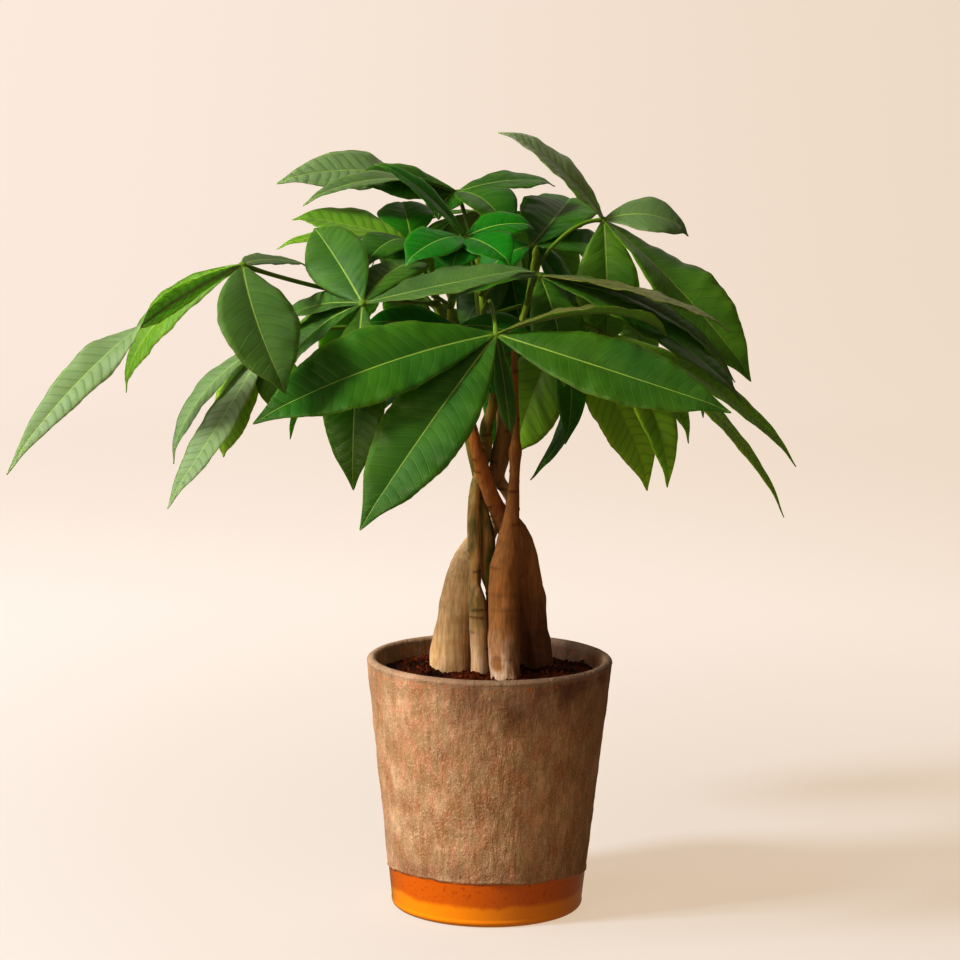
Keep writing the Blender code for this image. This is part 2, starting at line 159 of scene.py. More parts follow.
def addNode(tree, kind, inputs=None, **settings):
    # the outputs of a new shader node
    node = tree.nodes.new("ShaderNode" + kind)
    for key, value in settings.items():
        setattr(node, key, value)
    feed(tree, node.inputs, inputs or {})
    return node.outputs


def treeOf(*values):
    # the node tree of the first value that is a socket
    return next(value.id_data for value in values if isinstance(value, bpy.types.NodeSocket))


def calc(operation, *values):
    inputs = dict(enumerate(values))
    return addNode(treeOf(*values), "Math", inputs, operation=operation)[0]


def times(first, second):
    return calc("MULTIPLY", first, second)


def ramp(value, low, high, toLow=0.0, toHigh=1.0):
    # a smooth step of a value from low to high
    inputs = {"Value": value, "From Min": low, "From Max": high, "To Min": toLow, "To Max": toHigh}
    return addNode(treeOf(value), "MapRange", inputs, interpolation_type="SMOOTHSTEP")[0]


def mixColour(share, first, second):
    inputs = {0: share, 6: first, 7: second}
    return addNode(treeOf(share, first), "Mix", inputs, data_type="RGBA")[2]


def layOver(colour, palette, layers):
    # colours laid one over another; each layer is where it lies, how strongly, and its palette name
    for where, strength, tint in layers:
        colour = mixColour(times(where, strength), colour, palette[tint])
    return colour


def rgb(red, green, blue):
    # a colour that is named as a screen shows it, from 0 to 255, as linear light
    def linear(level):
        level /= 255
        return level / 12.92 if level <= 0.04045 else ((level + 0.055) / 1.055) ** 2.4
    return (linear(red), linear(green), linear(blue), 1.0)


def objectPlace(tree):
    return addNode(tree, "TexCoord")["Object"]


def storedParts(tree, name, kind="Vector"):
    # the three parts of a stored vector or colour, and a colour's fourth value
    stored = addNode(tree, "Attribute", attribute_name=name)
    split = "SeparateXYZ" if kind == "Vector" else "SeparateColor"
    return (*addNode(tree, split, {0: stored[kind]}), stored["Alpha"])


def newGroup(name, inputs, outputs):
    # an empty node group; inputs and outputs map the name of each socket to its kind
    group = bpy.data.node_groups.new(name, "ShaderNodeTree")
    for direction, sockets in (("INPUT", inputs), ("OUTPUT", outputs)):
        for key, kind in sockets.items():
            group.interface.new_socket(key, in_out=direction, socket_type="NodeSocket" + kind)
    return group, group.nodes.new("NodeGroupInput").outputs, group.nodes.new("NodeGroupOutput").inputs


def mottleGroup():
    # cloudy patches: noise on stretched coordinates, pushed to the ends by Contrast
    sockets = {"Place": "Vector", "Across": "Float", "Along": "Float", "Detail": "Float",
               "Contrast": "Float"}
    group, given, result = newGroup("mottle", sockets, {"Amount": "Float"})
    stretch = addNode(group, "CombineXYZ", {0: given["Across"], 1: given["Across"], 2: given["Along"]})[0]
    place = addNode(group, "VectorMath", {0: given["Place"], 1: stretch}, operation="MULTIPLY")[0]
    noise = addNode(group, "TexNoise", {"Vector": place, "Scale": 1.0, "Detail": given["Detail"]})[0]
    low = calc("SUBTRACT", 0.5, given["Contrast"])
    high = calc("ADD", 0.5, given["Contrast"])
    feed(group, result, {"Amount": ramp(noise, low, high)})
    return group


def mottle(place, across, along, contrast=0.2, detail=4.0):
    inputs = {"Place": place, "Across": across, "Along": along, "Contrast": contrast, "Detail": detail}
    return addNode(treeOf(place), "Group", inputs, node_tree=mottleNodes)["Amount"]


def spots(place, scale, detail, low, high):
    # fine noise, as a smooth step from low to high
    inputs = {"Vector": place, "Scale": scale, "Detail": detail}
    return ramp(addNode(treeOf(place), "TexNoise", inputs)[0], low, high)


def newMaterial(name):
    # a material, its node tree and the inputs of its shader
    material = bpy.data.materials.new(name)
    material.use_nodes = True
    tree = material.node_tree
    return material, tree, tree.nodes["Principled BSDF"].inputs


def bumpFrom(height, strength, distance):
    inputs = {"Height": height, "Strength": strength, "Distance": distance}
    return addNode(treeOf(height), "Bump", inputs)[0]


mottleNodes = mottleGroup()


# ---- camera, lights and floor

studio = {
    "cameraPlace": (-0.0072, -1.9, 0.541), "cameraDown": 8.35, "cameraRoll": 0.70, "lens": 119.36,
    "sensor": 36, "aimHeight": 0.25,        # the lights point this high above the origin
    # each light: how far round from the left towards the front, how high in degrees, how far off,
    # its width, its power and its colour
    "lights": {
        "keyLight": (26, 38, 2.5, 0.5, 110, (1.0, 0.97, 0.93)),
        "windowLight": (0, 16, 2.6, 1.6, 19, (1.0, 0.97, 0.95)),
        "frontLight": (58, 18, 3.0, 1.8, 38, (1.0, 0.83, 0.62)),
        "backLight": (-90, 25, 2.8, 3.0, 26, (1.0, 0.93, 0.85)),
        "sheenLight": (14, 38, 2.6, 1.5, 26, (1.0, 1.0, 0.98)),
        "rimLight": (-110, 34, 2.8, 2.0, 6, (1.0, 0.95, 0.86)),
        "bounceLight": (110, -40, 2.4, 2.4, 10, (1.0, 0.66, 0.36)),
    },
    "glossOnly": ("sheenLight", "rimLight"), "glossNever": ("keyLight", "backLight", "bounceLight"),
    "gamma": 0.82, "sky": (1.0, 0.71, 0.43, 1), "skyStrength": 0.2,
    # the glows and the two side tints are painted light on the paper, brighter on the left where the lamps
    # stand
    "floorPaint": (0.14, 0.175, 0.22, 1), "floorGlow": (0.70, 0.55, 0.41, 1),
    "midGlow": (0.83, 0.685, 0.555, 1), "wallGlow": (0.925, 0.79, 0.672, 1),
    "leftTint": (1.06, 1.09, 1.15, 1), "rightTint": (0.94, 0.935, 0.92, 1),
    # distances over which each gives way to the next
    "midReach": (0.15, 1.1), "wallReach": (0.9, 2.6), "paintReach": (0.9, 2.4), "sideLightReach": (-1.2, 1.2),
    "floorRadius": 3.4, "wallHeight": 4.5, "wallRound": 1.2, "floorRows": 12, "bendRows": 16, "around": 96,
}


def buildCamera():
    # tipped down from level, and rolled about its own line of sight
    data = bpy.data.cameras.new("camera")
    data.lens, data.sensor_width = studio["lens"], studio["sensor"]
    camera = addObject("camera", data)
    down, roll = math.radians(90 - studio["cameraDown"]), math.radians(studio["cameraRoll"])
    camera.location = studio["cameraPlace"]
    camera.rotation_mode = "QUATERNION"
    turn = camera.rotation_quaternion.__class__
    camera.rotation_quaternion = turn((1, 0, 0), down) @ turn((0, 0, 1), roll)
    bpy.context.scene.camera = camera


def buildLight(name, turn, rise, away, size, power, colour):
    # a round lamp on a sphere about the plant, turned towards it
    data = bpy.data.lights.new(name, "AREA")
    data.shape, data.size, data.energy, data.color = "DISK", size, power, colour
    light = addObject(name, data)
    turn, rise = math.radians(turn), math.radians(rise)
    level, height = away * math.cos(rise), studio["aimHeight"] + away * math.sin(rise)
    light.location = (-level * math.cos(turn), -level * math.sin(turn), height)
    light.rotation_euler = (math.pi / 2 - rise, 0, turn - math.pi / 2)
    light.visible_camera = False
    light.visible_diffuse = name not in studio["glossOnly"]
    light.visible_glossy = name not in studio["glossNever"]


def floorSkin():
    # painted light: a glow that changes with distance from the middle and is brighter on the lit left, over
    # fading paint
    material, tree, shader = newMaterial("studioPaperWithPaintedLight")
    place = objectPlace(tree)
    away = addNode(tree, "VectorMath", {0: place}, operation="LENGTH")["Value"]
    across = addNode(tree, "SeparateXYZ", {0: place})[0]
    glow = mixColour(ramp(away, *studio["midReach"]), studio["floorGlow"], studio["midGlow"])
    glow = mixColour(ramp(away, *studio["wallReach"]), glow, studio["wallGlow"])
    # painted light: the glow is brighter on the left, towards the lamps, and dimmer on the shaded right
    tint = mixColour(ramp(across, *studio["sideLightReach"]), studio["leftTint"], studio["rightTint"])
    glow = addNode(tree, "VectorMath", {0: glow, 1: tint}, operation="MULTIPLY")[0]
    paint = mixColour(ramp(away, *studio["paintReach"]), studio["floorPaint"], (0, 0, 0, 1))
    feed(tree, shader, {"Base Color": paint, "Roughness": 1.0, "Specular IOR Level": 0.0,
                        "Emission Color": glow, "Emission Strength": 1.0})
    return material


def buildFloor():
    # a round floor whose edge sweeps up in a quarter circle to an upright wall
    radius, bend, around = studio["floorRadius"], studio["wallRound"], studio["around"]
    flat = np.linspace(0.02, radius, studio["floorRows"])
    turn = np.linspace(0, math.pi / 2, studio["bendRows"])[1:]
    outline = np.concatenate([
        np.stack([flat, 0 * flat], 1),
        np.stack([radius + bend * np.sin(turn), bend - bend * np.cos(turn)], 1),
        [[radius + bend, studio["wallHeight"]]]])
    points = turned(outline[:, :1], circle(around), outline[:, 1:]).reshape(-1, 3)
    quads = ringFaces(len(outline), around, False)[0][:, ::-1]
    mesh = bpy.data.meshes.new("floor")
    mesh.from_pydata(points.tolist(), [], quads.tolist() + [list(range(around))])
    mesh.shade_smooth()
    mesh.materials.append(floorSkin())
    floor = addObject("floor", mesh)
    floor.visible_diffuse = floor.visible_glossy = floor.visible_shadow = False


def buildSky():
    world = bpy.data.worlds.new("studioSky")
    bpy.context.scene.world = world
    world.use_nodes = True
    feed(world.node_tree, world.node_tree.nodes["Background"].inputs,
         {"Color": studio["sky"], "Strength": studio["skyStrength"]})


buildCamera()
buildFloor()
buildSky()
for name, settings in studio["lights"].items():
    buildLight(name, *settings)
view = bpy.context.scene.view_settings
view.view_transform, view.gamma = "Standard", studio["gamma"]
print("studio ready")


# ---- pot

pot = {
    "height": 154, "rimRadius": 75, "baseRadius": 58.5, "footRound": 3.5, "wall": 6, "floor": 9,
    "lipLean": 0.3, "slipThickness": 0.7,        # how far the rough slip stands proud of the smooth glaze
    # the slip's lower edge: its height, how it tilts to the left and to the front, how uneven it is,
    # over what height it sets in, and the bead along it
    "slipEdge": 23.6, "slipEdgeTilt": 0.9, "slipEdgeFront": 4.2, "slipEdgeWander": 0.75,
    "slipStart": (-0.5, 0.7), "bead": 0.35, "beadHeight": 0.9, "beadWidth": 0.8,
    # relief of the slip, coarse to fine; how far the lumps sink in; how much the lip and the inside have
    "lump": 0.42, "streak": 0.12, "grit": 0.13, "sink": 0.6, "lipRelief": 0.5, "insideRelief": 0.35,
    # noises as cloudSum takes them
    "edgeNoise": ((0.35, 1, 1, 11), (0.09, 1, 0.6, 12), (0.03, 1, 0.35, 13)),
    "lumpNoise": ((14, 1, 1, 23), (7, 1, 0.7, 24)), "gritNoise": ((1.7, 1, 1, 25), (3.1, 1, 0.5, 26)),
    "streakNoise": ((3.2, 0.22, 1, 21), (1.8, 0.3, 0.6, 22)),
    "around": 384, "rowsUp": 190, "footRows": 7, "lipRows": 15, "insideRows": 30,
}
potColours = {
    "slipLight": rgb(196, 165, 136), "slipDark": rgb(136, 99, 66), "slipRed": rgb(170, 102, 62),
    "slipPale": rgb(220, 200, 180), "slipMoss": rgb(142, 124, 80), "lip": rgb(150, 130, 112),
    # upper: the slip's purple-brown below the lip, partly painted shadow of the leaves
    "upper": rgb(98, 64, 52), "glazeLow": rgb(228, 142, 14), "glazeHigh": rgb(196, 100, 8),
    "glazeSpeck": rgb(158, 62, 6),
}


def potRadius(height):
    low, high = pot["baseRadius"], pot["rimRadius"]
    return low + (high - low) * height / pot["height"]


def slipEdgeAt(angle):
    # the height of the slip's lower edge round the pot: a tilt and seeded waves
    wander = cloudSum(turned(1, angle, 0), pot["edgeNoise"])
    tilt = pot["slipEdgeTilt"] * np.cos(angle) + pot["slipEdgeFront"] * np.sin(angle)
    return pot["slipEdge"] - tilt + pot["slipEdgeWander"] * wander


def potProfile():
    # radius, height and how much relief each row of the turned surface has
    top, foot, wall, deep, rim, base = (pot[key] for key in (
        "height", "footRound", "wall", "floor", "rimRadius", "baseRadius"))
    half = wall / 2
    turn = np.linspace(0, math.pi / 2, pot["footRows"])[1:]
    low = np.stack([base - foot + foot * np.sin(turn), foot - foot * np.cos(turn), 0 * turn], 1)
    heights = np.linspace(foot, top - half, pot["rowsUp"])[1:]
    side = np.stack([potRadius(heights), heights, 1 + 0 * heights], 1)
    turn = np.linspace(0, math.pi, pot["lipRows"])[1:]
    lip = np.stack([rim - half + half * np.cos(turn) - pot["lipLean"] * np.sin(turn),
                    top - half + half * np.sin(turn), pot["lipRelief"] + 0 * turn], 1)
    heights = np.linspace(top - half, deep, pot["insideRows"])[1:]
    inside = np.stack([potRadius(heights) - wall, heights, pot["insideRelief"] + 0 * heights], 1)
    under = [[radius, 0, 0] for radius in (20, 40, base - foot)]
    return np.concatenate([under, low, side, lip, inside, [[radius, deep, 0] for radius in (35, 15)]])


def buildPot():
    # the profile turned about Z; its radius grows by the slip's cover times its lumps, upright streaks,
    # grit and edge bead, and shrinks by the slip's thickness where the glaze is bare
    profile, around = potProfile(), pot["around"]
    rows, angle = len(profile), circle(around)
    radius, height, rough = (np.repeat(profile[:, i:i + 1], around, 1) for i in range(3))
    place = turned(radius, angle, height)
    above = height - slipEdgeAt(angle)
    cover = smoothStep(*pot["slipStart"], above)
    relief = sum(pot[key] * cloudSum(place, pot[key + "Noise"]) for key in ("lump", "streak", "grit"))
    bead = pot["bead"] * np.exp(-((above - pot["beadHeight"]) / pot["beadWidth"]) ** 2)
    lift = cover * rough * (relief - pot["lump"] * pot["sink"] + bead * rough)
    lift -= (1 - cover) * pot["slipThickness"] * np.minimum(1, height / pot["footRound"])
    inward = rough < pot["lipRelief"]
    radius = np.where(inward, radius - np.abs(lift) * (rough > 0), radius + lift)
    points = turned(radius, angle, height).reshape(-1, 3)
    # fans of triangles close the underside and the floor inside
    poles = np.array([[0, 0, 0], [0, 0, pot["floor"]]])
    side, pole, last = np.arange(around), np.full(around, rows * around), (rows - 1) * around
    after = (side + 1) % around
    faces = [ringFaces(rows, around, False)[0], np.stack([after, side, pole], -1),
             np.stack([last + side, last + after, pole + 1], -1)]
    slip = np.concatenate([np.stack([cover, relief, rough], -1).reshape(-1, 3), 0 * poles])
    makePiece("stonewarePot", np.concatenate([points, poles]) * mm, faces, {"slipLay": slip},
              potSkin(), "pot")


def potSkin():
    # slip: patches, upright streaks, red and mossy clouds, pale flecks, dark pits and hollows, a darker
    # belt above the glaze, a purple-brown belt below the lip that is partly painted shadow of the leaves,
    # and thin spots; glaze: brighter at the foot, specks above
    material, tree, shader = newMaterial("stonewareSlipAndGlaze")
    place = objectPlace(tree)
    cover, relief = storedParts(tree, "slipLay")[:2]
    across, _, height = addNode(tree, "SeparateXYZ", {0: place})
    patches = mottle(place, 62, 48, 0.24)
    streaks = mottle(place, 330, 90, 0.17)
    # bands set in between two heights in metres; the upper belt is partly painted shadow of the leaves, so
    # it grows from left to right, into the shaded side
    upperBeltAndLeafShadow = times(ramp(height, 0.112, 0.148), ramp(across, -0.05, 0.025, 0.1, 1.5))
    beltsAndLeafShadow = calc("ADD", upperBeltAndLeafShadow, ramp(height, 0.05, 0.026, 0, 0.6))
    thin = times(ramp(height, 0.1455, 0.148), ramp(height, 0.1512, 0.1498))
    slip = layOver(potColours["slipLight"], potColours, (
        (patches, 1, "slipDark"), (streaks, 0.5, "slipLight"),
        (mottle(place, 140, 60, 0.1), 0.35, "slipRed"), (mottle(place, 210, 110, 0.08), 0.4, "slipMoss"),
        (spots(place, 900, 3, 0.5, 0.72), 0.45, "slipPale"),
        (spots(place, 1300, 2, 0.42, 0.3), 0.55, "slipDark"), (ramp(relief, 0.2, -1.1), 0.5, "slipDark"),
        # the purple-brown belt below the lip carries painted shadow of the leaves
        (beltsAndLeafShadow, ramp(patches, 0, 1, 0.3, 0.6), "upper"), (ramp(height, 0.1485, 0.1515), 0.55, "lip"),
        (spots(place, 420, 2, 0.63, 0.68), thin, "glazeHigh")))
    border = calc("ADD", height, times(mottle(place, 60, 20, 0.4), 0.0035))
    glaze = layOver(potColours["glazeLow"], potColours, (
        (ramp(border, 0.0125, 0.0165), 1, "glazeHigh"),
        (spots(place, 520, 3, 0.58, 0.7), ramp(border, 0.012, 0.022, 0.1, 0.8), "glazeSpeck")))
    grain = calc("ADD", mottle(place, 900, 700, 0.4, 3), streaks)
    feed(tree, shader, {
        "Base Color": mixColour(cover, glaze, slip), "Roughness": ramp(cover, 0.2, 0.8, 0.22, 0.82),
        "Coat Weight": ramp(cover, 0.6, 0.1, 0, 0.7), "Coat Roughness": 0.08,
        "Normal": bumpFrom(times(grain, cover), 0.55, 0.0005)})
    return material


buildPot()
print("pot ready")


# ---- soil

soil = {
    "drop": 8, "crown": 2.5, "clear": 0.4, "sink": 0.8, "depth": 16, "rings": 120, "around": 260,
    "lumpNoise": ((9, 1, 1.5, 41), (3.4, 1, 0.7, 42)), "grainNoise": ((1.5, 1, 0.35, 43),),
    "toneSize": 6, "toneSeed": 44, "strewn": 65.01,        # how far out the loose bits lie
    # loose bits: how many, their stretch, how freely they turn, how red they are, and a seed
    "crumbs": (900, (1.0, 0.85, 0.7), (1, 1, 1, 1), 0.35, 31),
    "chips": (130, (2.6, 1.1, 0.5), (1, 0.25, 0.25, 1), 1.0, 32),
}
soilColours = {"dark": rgb(22, 10, 4), "mid": rgb(50, 24, 10), "red": rgb(110, 46, 16),
               "pale": rgb(132, 84, 44)}


def soilHeight(x, y):
    # a low mound that falls with the square of the distance, with lumps that fade outwards and grains
    top = pot["height"] - soil["drop"]
    away = np.sqrt(x * x + y * y) / (potRadius(top) - pot["wall"])
    place = np.stack([x, y, 0 * x], -1)
    lump = cloudSum(place, soil["lumpNoise"]) * (1 - 0.5 * away)
    grain = cloudSum(place, soil["grainNoise"])
    return top - soil["crown"] * away ** 2 - soil["sink"] + lump + grain


def buildSoil():
    # rings of points over the mound, closed below by a flat underside
    rings, around, top = soil["rings"], soil["around"], pot["height"]
    reach = potRadius(top - soil["drop"] - soil["crown"]) - pot["wall"]
    radius = np.linspace(reach - soil["clear"], 0.5, rings)[:, None]
    mound = turned(radius, circle(around), 0)
    mound[..., 2] = soilHeight(mound[..., 0], mound[..., 1])
    under = mound[:1] * (0.99, 0.99, 0) + (0, 0, top - soil["depth"])
    points = np.concatenate([under, mound]).reshape(-1, 3)
    tone = np.zeros((len(points), 4))
    tone[:, 0] = 0.5 + 0.5 * cloudNoise(points, soil["toneSize"], soil["toneSeed"])
    points, faces, values = joinParts([
        (points, ringFaces(rings + 1, around), {"soilTone": tone}),
        looseBits(*soil["crumbs"]), looseBits(*soil["chips"])])
    makePiece("pottingSoil", points * mm, faces, values, soilSkin(), "soil")


def looseBits(count, stretch, freedom, redness, seed):
    # uneven twenty-sided grains, or long flat chips of bark, strewn on the mound
    chance = np.random.default_rng(seed)
    gold = (1 + math.sqrt(5)) / 2
    base = unit(np.array([np.roll([0, a, b * gold], -shift) for shift in range(3)
                          for a in (-1, 1) for b in (-1, 1)]))
    # a face joins three corners that are all neighbours, and is turned to look outwards
    gaps = np.linalg.norm(base[:, None] - base[None], axis=-1)
    faces = np.array([trio for trio in combinations(range(12), 3)
                      if all(gaps[pair] < 1.2 for pair in combinations(trio, 2))])
    a, b, c = base[faces.T]
    inward = (np.cross(b - a, c - a) * (a + b + c)).sum(1) < 0
    faces = np.where(inward[:, None], faces[:, ::-1], faces)
    size = chance.uniform(0.5, 1.5, (count, 1, 1)) ** 1.5 * np.array(stretch)
    shapes = base[None] * size * chance.uniform(0.75, 1.2, (count, 12, 1))
    # a random unit quaternion (w, q) turns a point p to p + 2w(q x p) + 2q x (q x p)
    w, q = np.split(unit(chance.normal(size=(count, 4)) * freedom)[:, None], [1], -1)
    turn = np.cross(q, shapes)
    shapes = shapes + 2 * (w * turn + np.cross(q, turn))
    radius = soil["strewn"] * np.sqrt(chance.uniform(0, 1, count))
    centre = turned(radius, chance.uniform(0, math.tau, count), 0)
    centre[:, 2] = soilHeight(centre[:, 0], centre[:, 1]) + chance.uniform(0, 0.5, count)
    points = (shapes + centre[:, None]).reshape(-1, 3)
    faces = (faces[None] + 12 * np.arange(count)[:, None, None]).reshape(-1, 3)
    tone = np.zeros((count, 12, 4))
    tone[..., 0] = chance.uniform(0, 1, (count, 1))
    tone[..., 1] = redness
    return points, [faces], {"soilTone": tone.reshape(-1, 4)}


def soilSkin():
    # dark soil with brown and red clouds; loose bits redden with their own shade, and the palest fade
    material, tree, shader = newMaterial("dampPottingSoil")
    place = objectPlace(tree)
    shade, redness = storedParts(tree, "soilTone", "Color")[:2]
    colour = layOver(soilColours["dark"], soilColours, (
        (mottle(place, 260, 260, 0.2), 1, "mid"), (mottle(place, 34, 34, 0.12), 0.55, "red"),
        (redness, ramp(shade, 0.35, 1), "red"), (redness, ramp(shade, 0.9, 1, 0, 0.7), "pale")))
    grain = mottle(place, 1500, 1500, 0.4)
    feed(tree, shader, {"Base Color": colour, "Roughness": ramp(shade, 0, 1, 0.95, 0.75),
                        "Specular IOR Level": 0.1, "Normal": bumpFrom(grain, 0.6, 0.0004)})
    return material


buildSoil()
print("soil ready")


# ---- trunks

# centre line and radius (x, y, z, r) in mm, from the foot in the soil to the shoot's tip
trunks = {
    "trunk_left": [
        (-24, 10, 112, 12.4), (-24, 10, 146, 12.6), (-20, 11, 178, 11.6), (-15.4, 12.8, 204, 10),
        (-11.4, 16.8, 213, 9.2), (-5.4, 22.5, 222, 8), (-1, 25, 229, 6.1), (5, 25.5, 235, 4.6),
        (12, 21, 245, 3.4), (7.8, 15.5, 255, 3.4), (3, 11, 263, 4.6), (4.4, 8.5, 273, 5.6),
        (6.2, 7, 283, 5.4), (7, 7, 295, 4.4), (4, 9, 308, 3.2), (-1, 12, 330, 2.5),
        (-6, 15, 352, 2.2), (-10, 18, 374, 2.1), (-10, 20, 402, 1.9),
    ],
    "trunk_slender": [
        (-5.8, -5, 112, 5.4), (-5.8, -5, 146, 5.6), (-7, -4.4, 174, 5.5), (-7.9, -4, 188, 5.3),
        (-9.9, -2.4, 199, 3.8), (-10, -1.4, 212, 3.9), (-11, 0, 240, 3.7), (-9.6, 1.6, 258, 3.4),
        (-6.6, 2, 268, 3.5), (-4.2, 1.5, 280, 3.8), (-3.8, 0, 294, 3.8), (0, -5, 310, 2.9),
        (0, -11, 335, 2.3), (-6, -14, 362, 2), (-8, -16, 386, 1.8),
    ],
    "trunk_middle": [
        (2.5, 5, 112, 4.3), (2.5, 5, 146, 4.4), (1.6, 4, 178, 4.1), (1, 3.8, 194, 3.8),
        (-1.8, 4.2, 203, 4.1), (-2.2, 5, 212, 4.6), (-2.4, 5.8, 226, 4.8), (-4.9, 6.8, 241, 3.6),
        (-8, 8, 258, 2.8), (-13, 7.5, 280, 2.6), (-18, 6, 305, 2.4), (-27, 6, 338, 2.2),
        (-34, 4, 368, 2), (-38, 2, 392, 1.8),
    ],
    "trunk_front": [
        (9.6, -18, 112, 9.2), (9.6, -18, 146, 9.2), (8, -14, 176, 9.4), (8, -10.5, 204, 8.9),
        (8.6, -9.6, 213, 8.8), (10.2, -8.5, 223, 7.6), (12.2, -7, 242, 4.6), (13, -6, 257, 3.5),
        (13.6, -5, 266, 3), (13.8, -5, 277, 3.2), (14, -5, 290, 2.4), (13, -6, 318, 2.2),
        (13, -8, 345, 2), (20, -8, 372, 1.8), (24, -6, 398, 1.7),
    ],
    "trunk_right": [
        (27, 23, 112, 12.2), (27, 23, 146, 12.4), (25, 21.4, 168, 10.8), (23.4, 19.5, 188, 9.9),
        (20, 15.8, 206, 9.8), (16.5, 14, 219, 9.5), (12, 12.8, 230, 8.2), (7.2, 9.4, 238, 6.4),
        (2.8, 4.2, 245, 5), (-1.2, -3, 255, 4.8), (-6.4, -8, 271, 4.5), (-10.6, -8.5, 287, 3.6),
        (-17, -6, 312, 2.6), (-24, -8, 340, 2.4), (-26, -12, 366, 2), (-24, -14, 388, 1.8),
    ],
}
bark = {
    "rings": 300, "around": 48, "budRings": 14, "budLength": 7, "budSwell": 0.35,
    "ridges": ((2.2, 0.14, 0.3, 61),), "lumps": ((11, 1, 0.35, 71),),        # as cloudSum takes them
    # leaf scars: how many, from what height, how far apart, how far they sag, half their width
    "scars": 60, "scarFrom": 150, "scarGap": 9, "scarSag": 0.8, "scarHalf": 0.75, "scarLift": 0.4,
    "seed": 51, "foot": 146, "length": 110,        # the colours run from the foot over this length
    "young": (322, 372),               # heights over which bark turns to green shoot
    "knobs": {"trunk_front": (281, 5, 0.9)},        # height, half length and lift of a swelling
}
# bark colours low, middle and high on each trunk, how green it is, and how pale its foot is
barkLook = {
    "trunk_left": (rgb(238, 206, 156), rgb(232, 204, 162), rgb(170, 136, 92), 0.1, 0.25),
    "trunk_slender": (rgb(220, 182, 138), rgb(226, 192, 140), rgb(152, 138, 66), 0.74, 0.7),
    "trunk_middle": (rgb(200, 158, 108), rgb(172, 146, 84), rgb(116, 118, 50), 0.9, 0.3),
    "trunk_front": (rgb(158, 118, 78), rgb(166, 118, 70), rgb(164, 112, 58), 0.05, 0.7),
    "trunk_right": (rgb(126, 84, 60), rgb(184, 132, 86), rgb(190, 122, 60), 0.08, 0.05),
}
barkInputs = {"Low": "Color", "Middle": "Color", "High": "Color", "Green": "Float", "Pale": "Float"}
barkColours = {"green": rgb(52, 94, 28), "scar": rgb(84, 44, 20), "pale": rgb(238, 222, 200),
               "orange": rgb(206, 132, 62), "shoot": rgb(118, 146, 44), "dark": rgb(74, 44, 26)}


def trunkPath(name, steps):
    # Catmull-Rom curve through the stations: centre and radius at even steps
    rows = np.array(trunks[name], dtype=float)
    place = np.linspace(0, len(rows) - 1, steps)
    start = np.minimum(place.astype(int), len(rows) - 2)
    rows = np.vstack([2 * rows[0] - rows[1], rows, 2 * rows[-1] - rows[-2]])
    t = (place - start)[:, None]
    a, b, c, d = (rows[start + shift] for shift in range(4))
    return 0.5 * (2 * b + (c - a) * t + (2 * a - 5 * b + 4 * c - d) * t ** 2
                  + (3 * b - a - 3 * c + d) * t ** 3)


def ringAbout(angle, across, other):
    # a unit circle in the plane of two directions
    return np.cos(angle) * across + np.sin(angle) * other


def scarRings(height, angle, number):
    # 1 on a leaf scar and 0 away from it: short sagging bands round the trunk at seeded heights
    count, chance = bark["scars"], np.random.default_rng(bark["seed"] + number)
    heights = np.cumsum(chance.uniform(0.5, 1.5, count) * bark["scarGap"]) + bark["scarFrom"]
    turns, spans = chance.uniform(0, math.tau, count), chance.uniform(0.5, 1.3, count)
    away = np.abs((angle - turns[:, None] + math.pi) % math.tau - math.pi)
    window = smoothStep(1.25, 0.75, away / spans[:, None])
    climb = height[..., None] - heights - bark["scarSag"] * np.cos(angle[:, None] - turns)
    return (np.exp(-(climb / bark["scarHalf"]) ** 2) * window.T).max(-1)


def buildTrunk(name, number):
    # a round bar along the trunk's path with a pointed bud; ridges, lumps and leaf scars change its radius
    path, rings = trunkPath(name, bark["rings"]), bark["budRings"]
    centre, radius = path[:, :3], path[:, 3]
    bud = np.linspace(0, 1, rings)[1:]
    way = unit(centre[-1] - centre[-2])
    centre = np.concatenate([centre, centre[-1] + way * bud[:, None] * bark["budLength"]])
    swell = np.sin(math.pi * np.clip(bud * 1.15 + 0.1, 0, 1)) * bark["budSwell"] + 1
    radius = np.concatenate([radius, radius[-1] * swell * np.sqrt(np.clip(1 - bud ** 2, 0.004, 1))])
    # two directions square to the path at each ring
    tangent = unit(np.gradient(centre, axis=0))
    across = unit(np.array([1.0, 0, 0]) - tangent * tangent[:, :1])
    angle = circle(bark["around"])
    ring = ringAbout(angle[:, None], across[:, None], np.cross(tangent, across)[:, None])
    rough = centre[:, None] + ring * radius[:, None, None]
    height = rough[..., 2]
    scar = scarRings(height, angle, number) * smoothStep(13, 5, radius)[:, None]
    thick = np.minimum(radius / 5, 1.5)[:, None]
    ridge = cloudSum(rough, bark["ridges"], number)
    lump = cloudSum(rough, bark["lumps"], number) * np.minimum(radius / 6, 2)[:, None]
    middle, half, knob = bark["knobs"].get(name, (0, 1, 0))
    knob = knob * np.exp(-((height - middle) / half) ** 2)
    lift = (ridge + lump) * thick + scar * bark["scarLift"] + knob
    lift[-rings:] *= 0.2
    points = (rough + ring * lift[..., None]).reshape(-1, 3)
    share = np.clip((height - bark["foot"]) / bark["length"], 0, 1.6)
    lay = np.stack([share, scar, smoothStep(*bark["young"], height)], -1).reshape(-1, 3)
    piece = "bark" + name.split("_")[1].capitalize()
    makePiece(piece, points * mm, ringFaces(len(centre), bark["around"]), {"barkLay": lay},
              barkSkin(piece, barkLook[name]), name)


